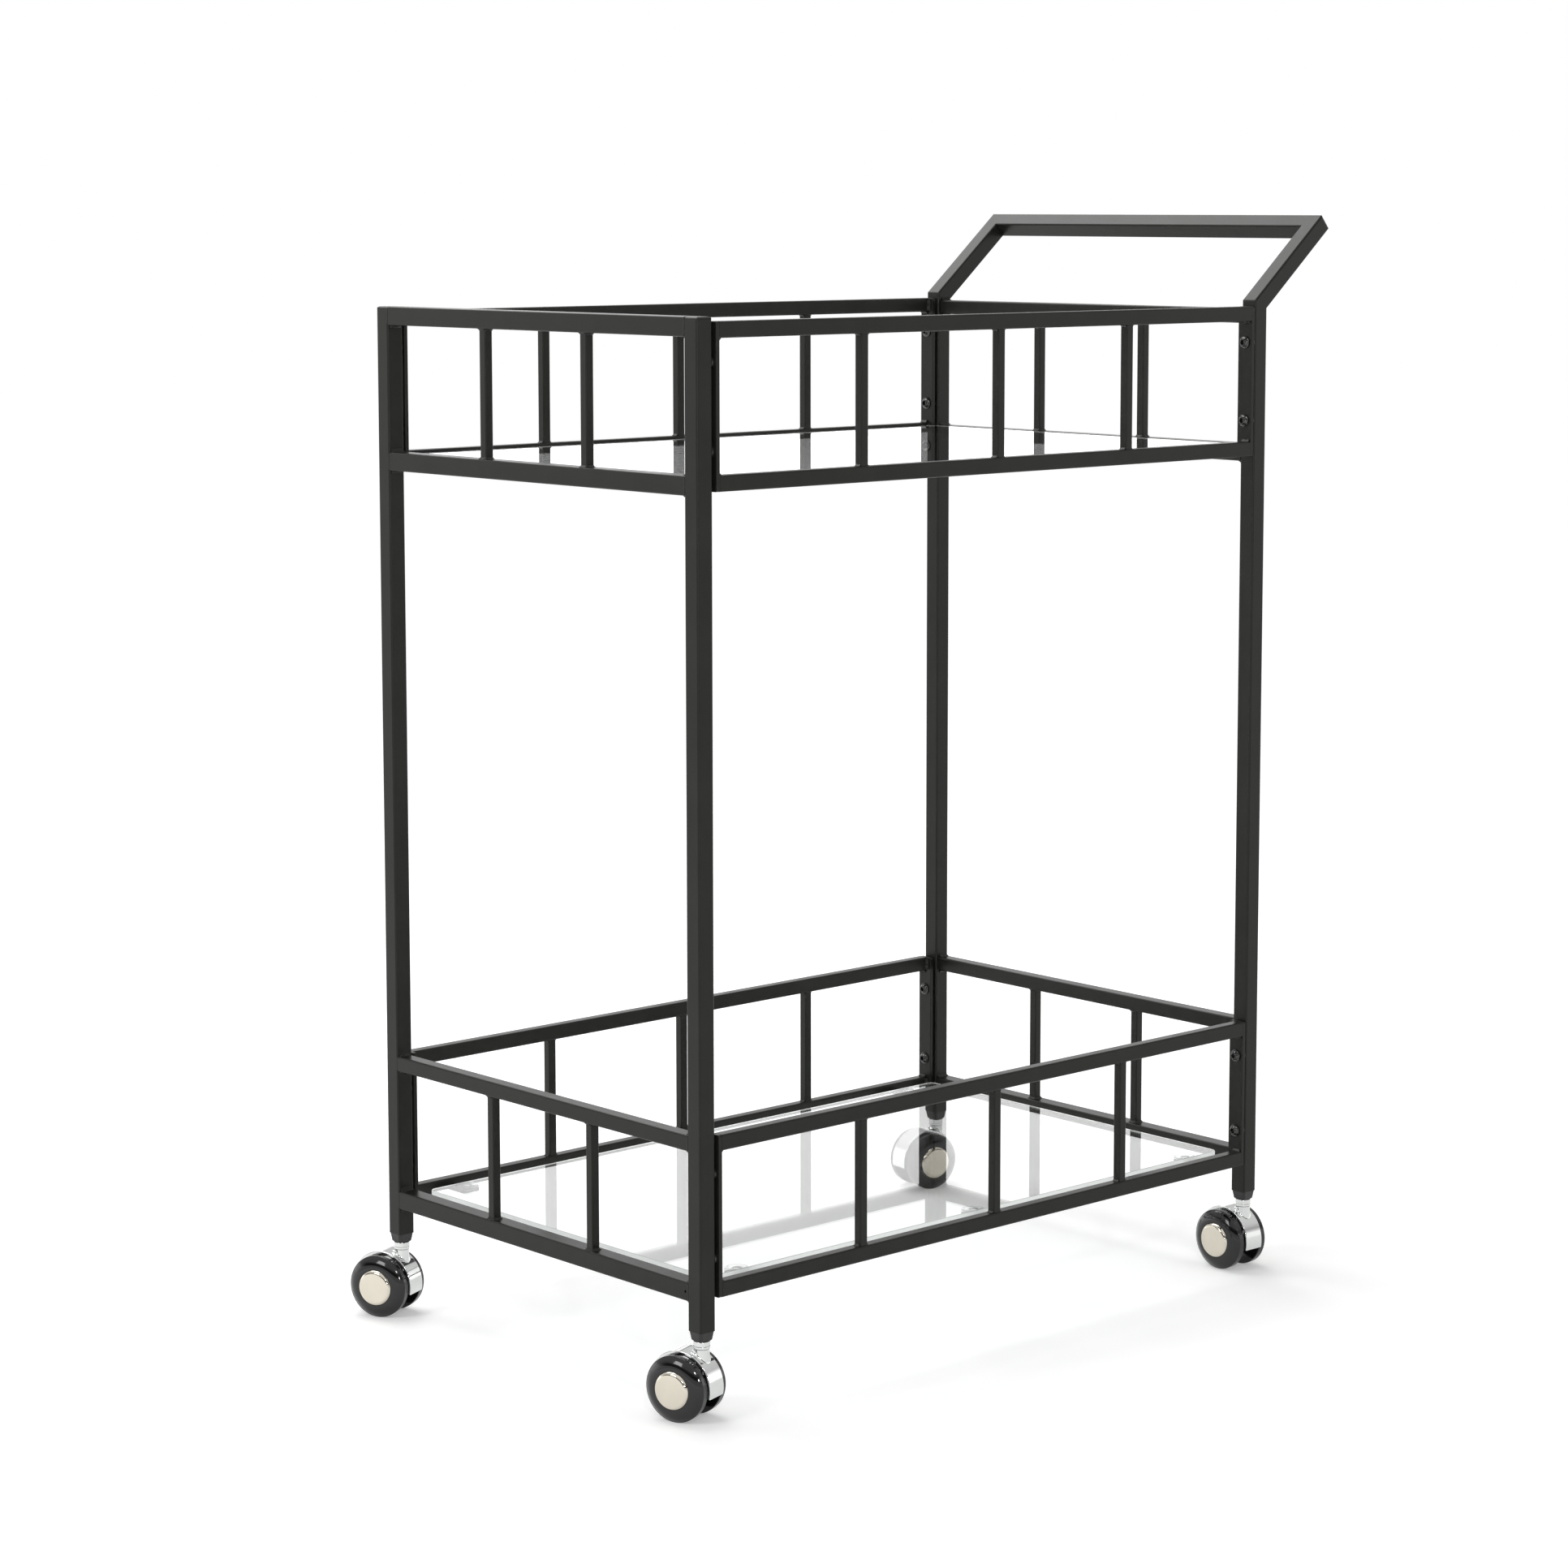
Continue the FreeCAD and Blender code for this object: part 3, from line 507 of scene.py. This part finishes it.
face_clear = (0.992, 0.997, 0.994, 1)
edge_clear = (0.95, 0.975, 0.96, 1)
face_flatness = 0.98
edge_flatness = 0.60
dust_haze = 0.004
glass_ior = 1.52
edge_haze = 0.12
ground_cover = 0.85
ground_milk = 0.7
shelf_glass, tree, output = new_material("shelf_glass")
place = own_place(tree)
drawn = noise(tree, place, Scale=5.0, Detail=1.0)
dust = noise(tree, place, Scale=260.0, Detail=6.0, Roughness=0.7)
normal = add(tree, "ShaderNodeNewGeometry").outputs["True Normal"]
flat = maths(tree, "ABSOLUTE", add(tree, "ShaderNodeSeparateXYZ", Vector=normal).outputs["Z"])
edge = ranged(tree, flat, From_Min=face_flatness, From_Max=edge_flatness)
film = ranged(tree, dust, From_Min=0.55, From_Max=0.8, To_Max=dust_haze)
haze = ranged(tree, edge, To_Max=edge_haze)
clear = add(tree, "ShaderNodeBsdfPrincipled",
            Base_Color=blended(tree, edge, face_clear, edge_clear),
            Roughness=maths(tree, "ADD", film, haze),
            Normal=bumped(tree, drawn, strength=0.02, depth=0.001))
clear.inputs["Transmission Weight"].default_value = 1.0
clear.inputs["IOR"].default_value = glass_ior
frosted = add(tree, "ShaderNodeBsdfDiffuse", Color=(0.93, 0.95, 0.935, 1))
lit_within = add(tree, "ShaderNodeBsdfTranslucent", Color=(0.96, 0.98, 0.965, 1))
ground = mixed(tree, ground_milk, frosted, lit_within)
pane = mixed(tree, maths(tree, "MULTIPLY", edge, ground_cover), clear, ground)
passing = add(tree, "ShaderNodeBsdfTransparent", Color=(0.97, 0.98, 0.975, 1))
sheet = mixed(tree, light_ray(tree), pane, passing)
tree.links.new(sheet.outputs[0], output.inputs["Surface"])
finish_node("upper_shelf_glass", shelf_glass)
finish_node("lower_shelf_glass", shelf_glass)

# ------------------------------------------------------------ glass pads
# Clear soft plastic cups moulded with a ring groove, pressed through the
# steel tabs so that their knobs hold them below.
pad_ior = 1.46
pad_clear = 0.97
pad_see_through = 0.65
clear_pad, tree, output = new_material("clear_pad")
flow = noise(tree, own_place(tree), Scale=330.0, Detail=4.0)
cup = add(tree, "ShaderNodeBsdfPrincipled",
          Base_Color=ranged(tree, flow, To_Min=0.94, To_Max=0.99),
          Roughness=ranged(tree, flow, To_Min=0.01, To_Max=0.05),
          Normal=bumped(tree, flow, strength=0.04, depth=0.0003))
cup.inputs["Transmission Weight"].default_value = pad_clear
cup.inputs["IOR"].default_value = pad_ior
passing = add(tree, "ShaderNodeBsdfTransparent", Color=(0.93, 0.94, 0.94, 1))
soft = mixed(tree, maths(tree, "MAXIMUM", light_ray(tree), pad_see_through), cup, passing)
tree.links.new(soft.outputs[0], output.inputs["Surface"])
finish_node("glass_pads", clear_pad)


# ------------------------------------------------------------ screws and nuts
# Button-head screws with a hex socket, blackened and oiled so that they are
# glossier than the coat, in dark zinc rivet nuts set in the posts.
grains_per_cloud = 9.0
grain_depth = 0.0003


def worn_finish(name, low, high, smooth, rough, cloud_scale, relief, metallic=1.0):
    """Finish that clouds between two colours and between two roughnesses."""
    material, tree, output = new_material(name)
    place = own_place(tree)
    cloud = noise(tree, place, Scale=cloud_scale, Detail=5.0, Roughness=0.6)
    fine = noise(tree, place, Scale=grains_per_cloud * cloud_scale, Detail=2.0)
    surface = add(tree, "ShaderNodeBsdfPrincipled",
                  Base_Color=blended(tree, cloud, low + (1,), high + (1,)),
                  Roughness=ranged(tree, cloud, From_Min=0.3, From_Max=0.7,
                                   To_Min=smooth, To_Max=rough),
                  Normal=bumped(tree, fine, strength=relief, depth=grain_depth))
    surface.inputs["Metallic"].default_value = metallic
    tree.links.new(surface.outputs[0], output.inputs["Surface"])
    return material


black_screw = worn_finish("black_screw", (0.045, 0.045, 0.045), (0.090, 0.088, 0.085),
                          smooth=0.10, rough=0.18, cloud_scale=240.0, relief=0.05)
rivet_steel = worn_finish("rivet_steel", (0.05, 0.05, 0.05), (0.11, 0.11, 0.10),
                          smooth=0.28, rough=0.45, cloud_scale=300.0, relief=0.08)
finish_node("panel_screws", black_screw)
finish_node("rivet_nuts", rivet_steel)

# ------------------------------------------------------------ caster sockets
# Black nylon plugs driven into the posts' feet, moulded with a fine matt
# grain, their flanges scuffed a little by the hammer.
socket_plastic = worn_finish("socket_plastic", (0.007, 0.007, 0.007), (0.014, 0.014, 0.013),
                             smooth=0.36, rough=0.52, cloud_scale=190.0, relief=0.12, metallic=0.0)
finish_node("caster_sockets", socket_plastic)

# ------------------------------------------------------------ caster metal
# Zinc castings polished and chrome plated: the collars on the stems, and the
# hoods that swivel on them. The axles are plain bright steel pins.
caster_chrome = worn_finish("caster_chrome", (0.60, 0.61, 0.60), (0.70, 0.71, 0.70),
                            smooth=0.025, rough=0.07, cloud_scale=60.0, relief=0.012)
axle_steel = worn_finish("axle_steel", (0.50, 0.50, 0.49), (0.62, 0.62, 0.61),
                         smooth=0.18, rough=0.32, cloud_scale=220.0, relief=0.05)
finish_node("caster_stems", caster_chrome)
sites = ("plain_front", "handle_front", "plain_back", "handle_back")
for site in sites:
    finish_node("caster_" + site + "_hood", caster_chrome)
    finish_node("caster_" + site + "_axle", axle_steel)

# ------------------------------------------------------------ wheels and caps
# Twin wheels of hard gloss black plastic that run on the axle, each with a
# pressed cap of satin champagne plate in its face.
wheel_black = worn_finish("wheel_black", (0.003, 0.003, 0.003), (0.006, 0.006, 0.006),
                          smooth=0.07, rough=0.12, cloud_scale=45.0, relief=0.02, metallic=0.0)
cap_champagne = worn_finish("cap_champagne", (0.60, 0.56, 0.475), (0.69, 0.645, 0.555),
                            smooth=0.05, rough=0.11, cloud_scale=80.0, relief=0.02)
for site in sites:
    for hand in ("left", "right"):
        finish_node("caster_" + site + "_wheel_" + hand, wheel_black)
        finish_node("caster_" + site + "_cap_" + hand, cap_champagne)
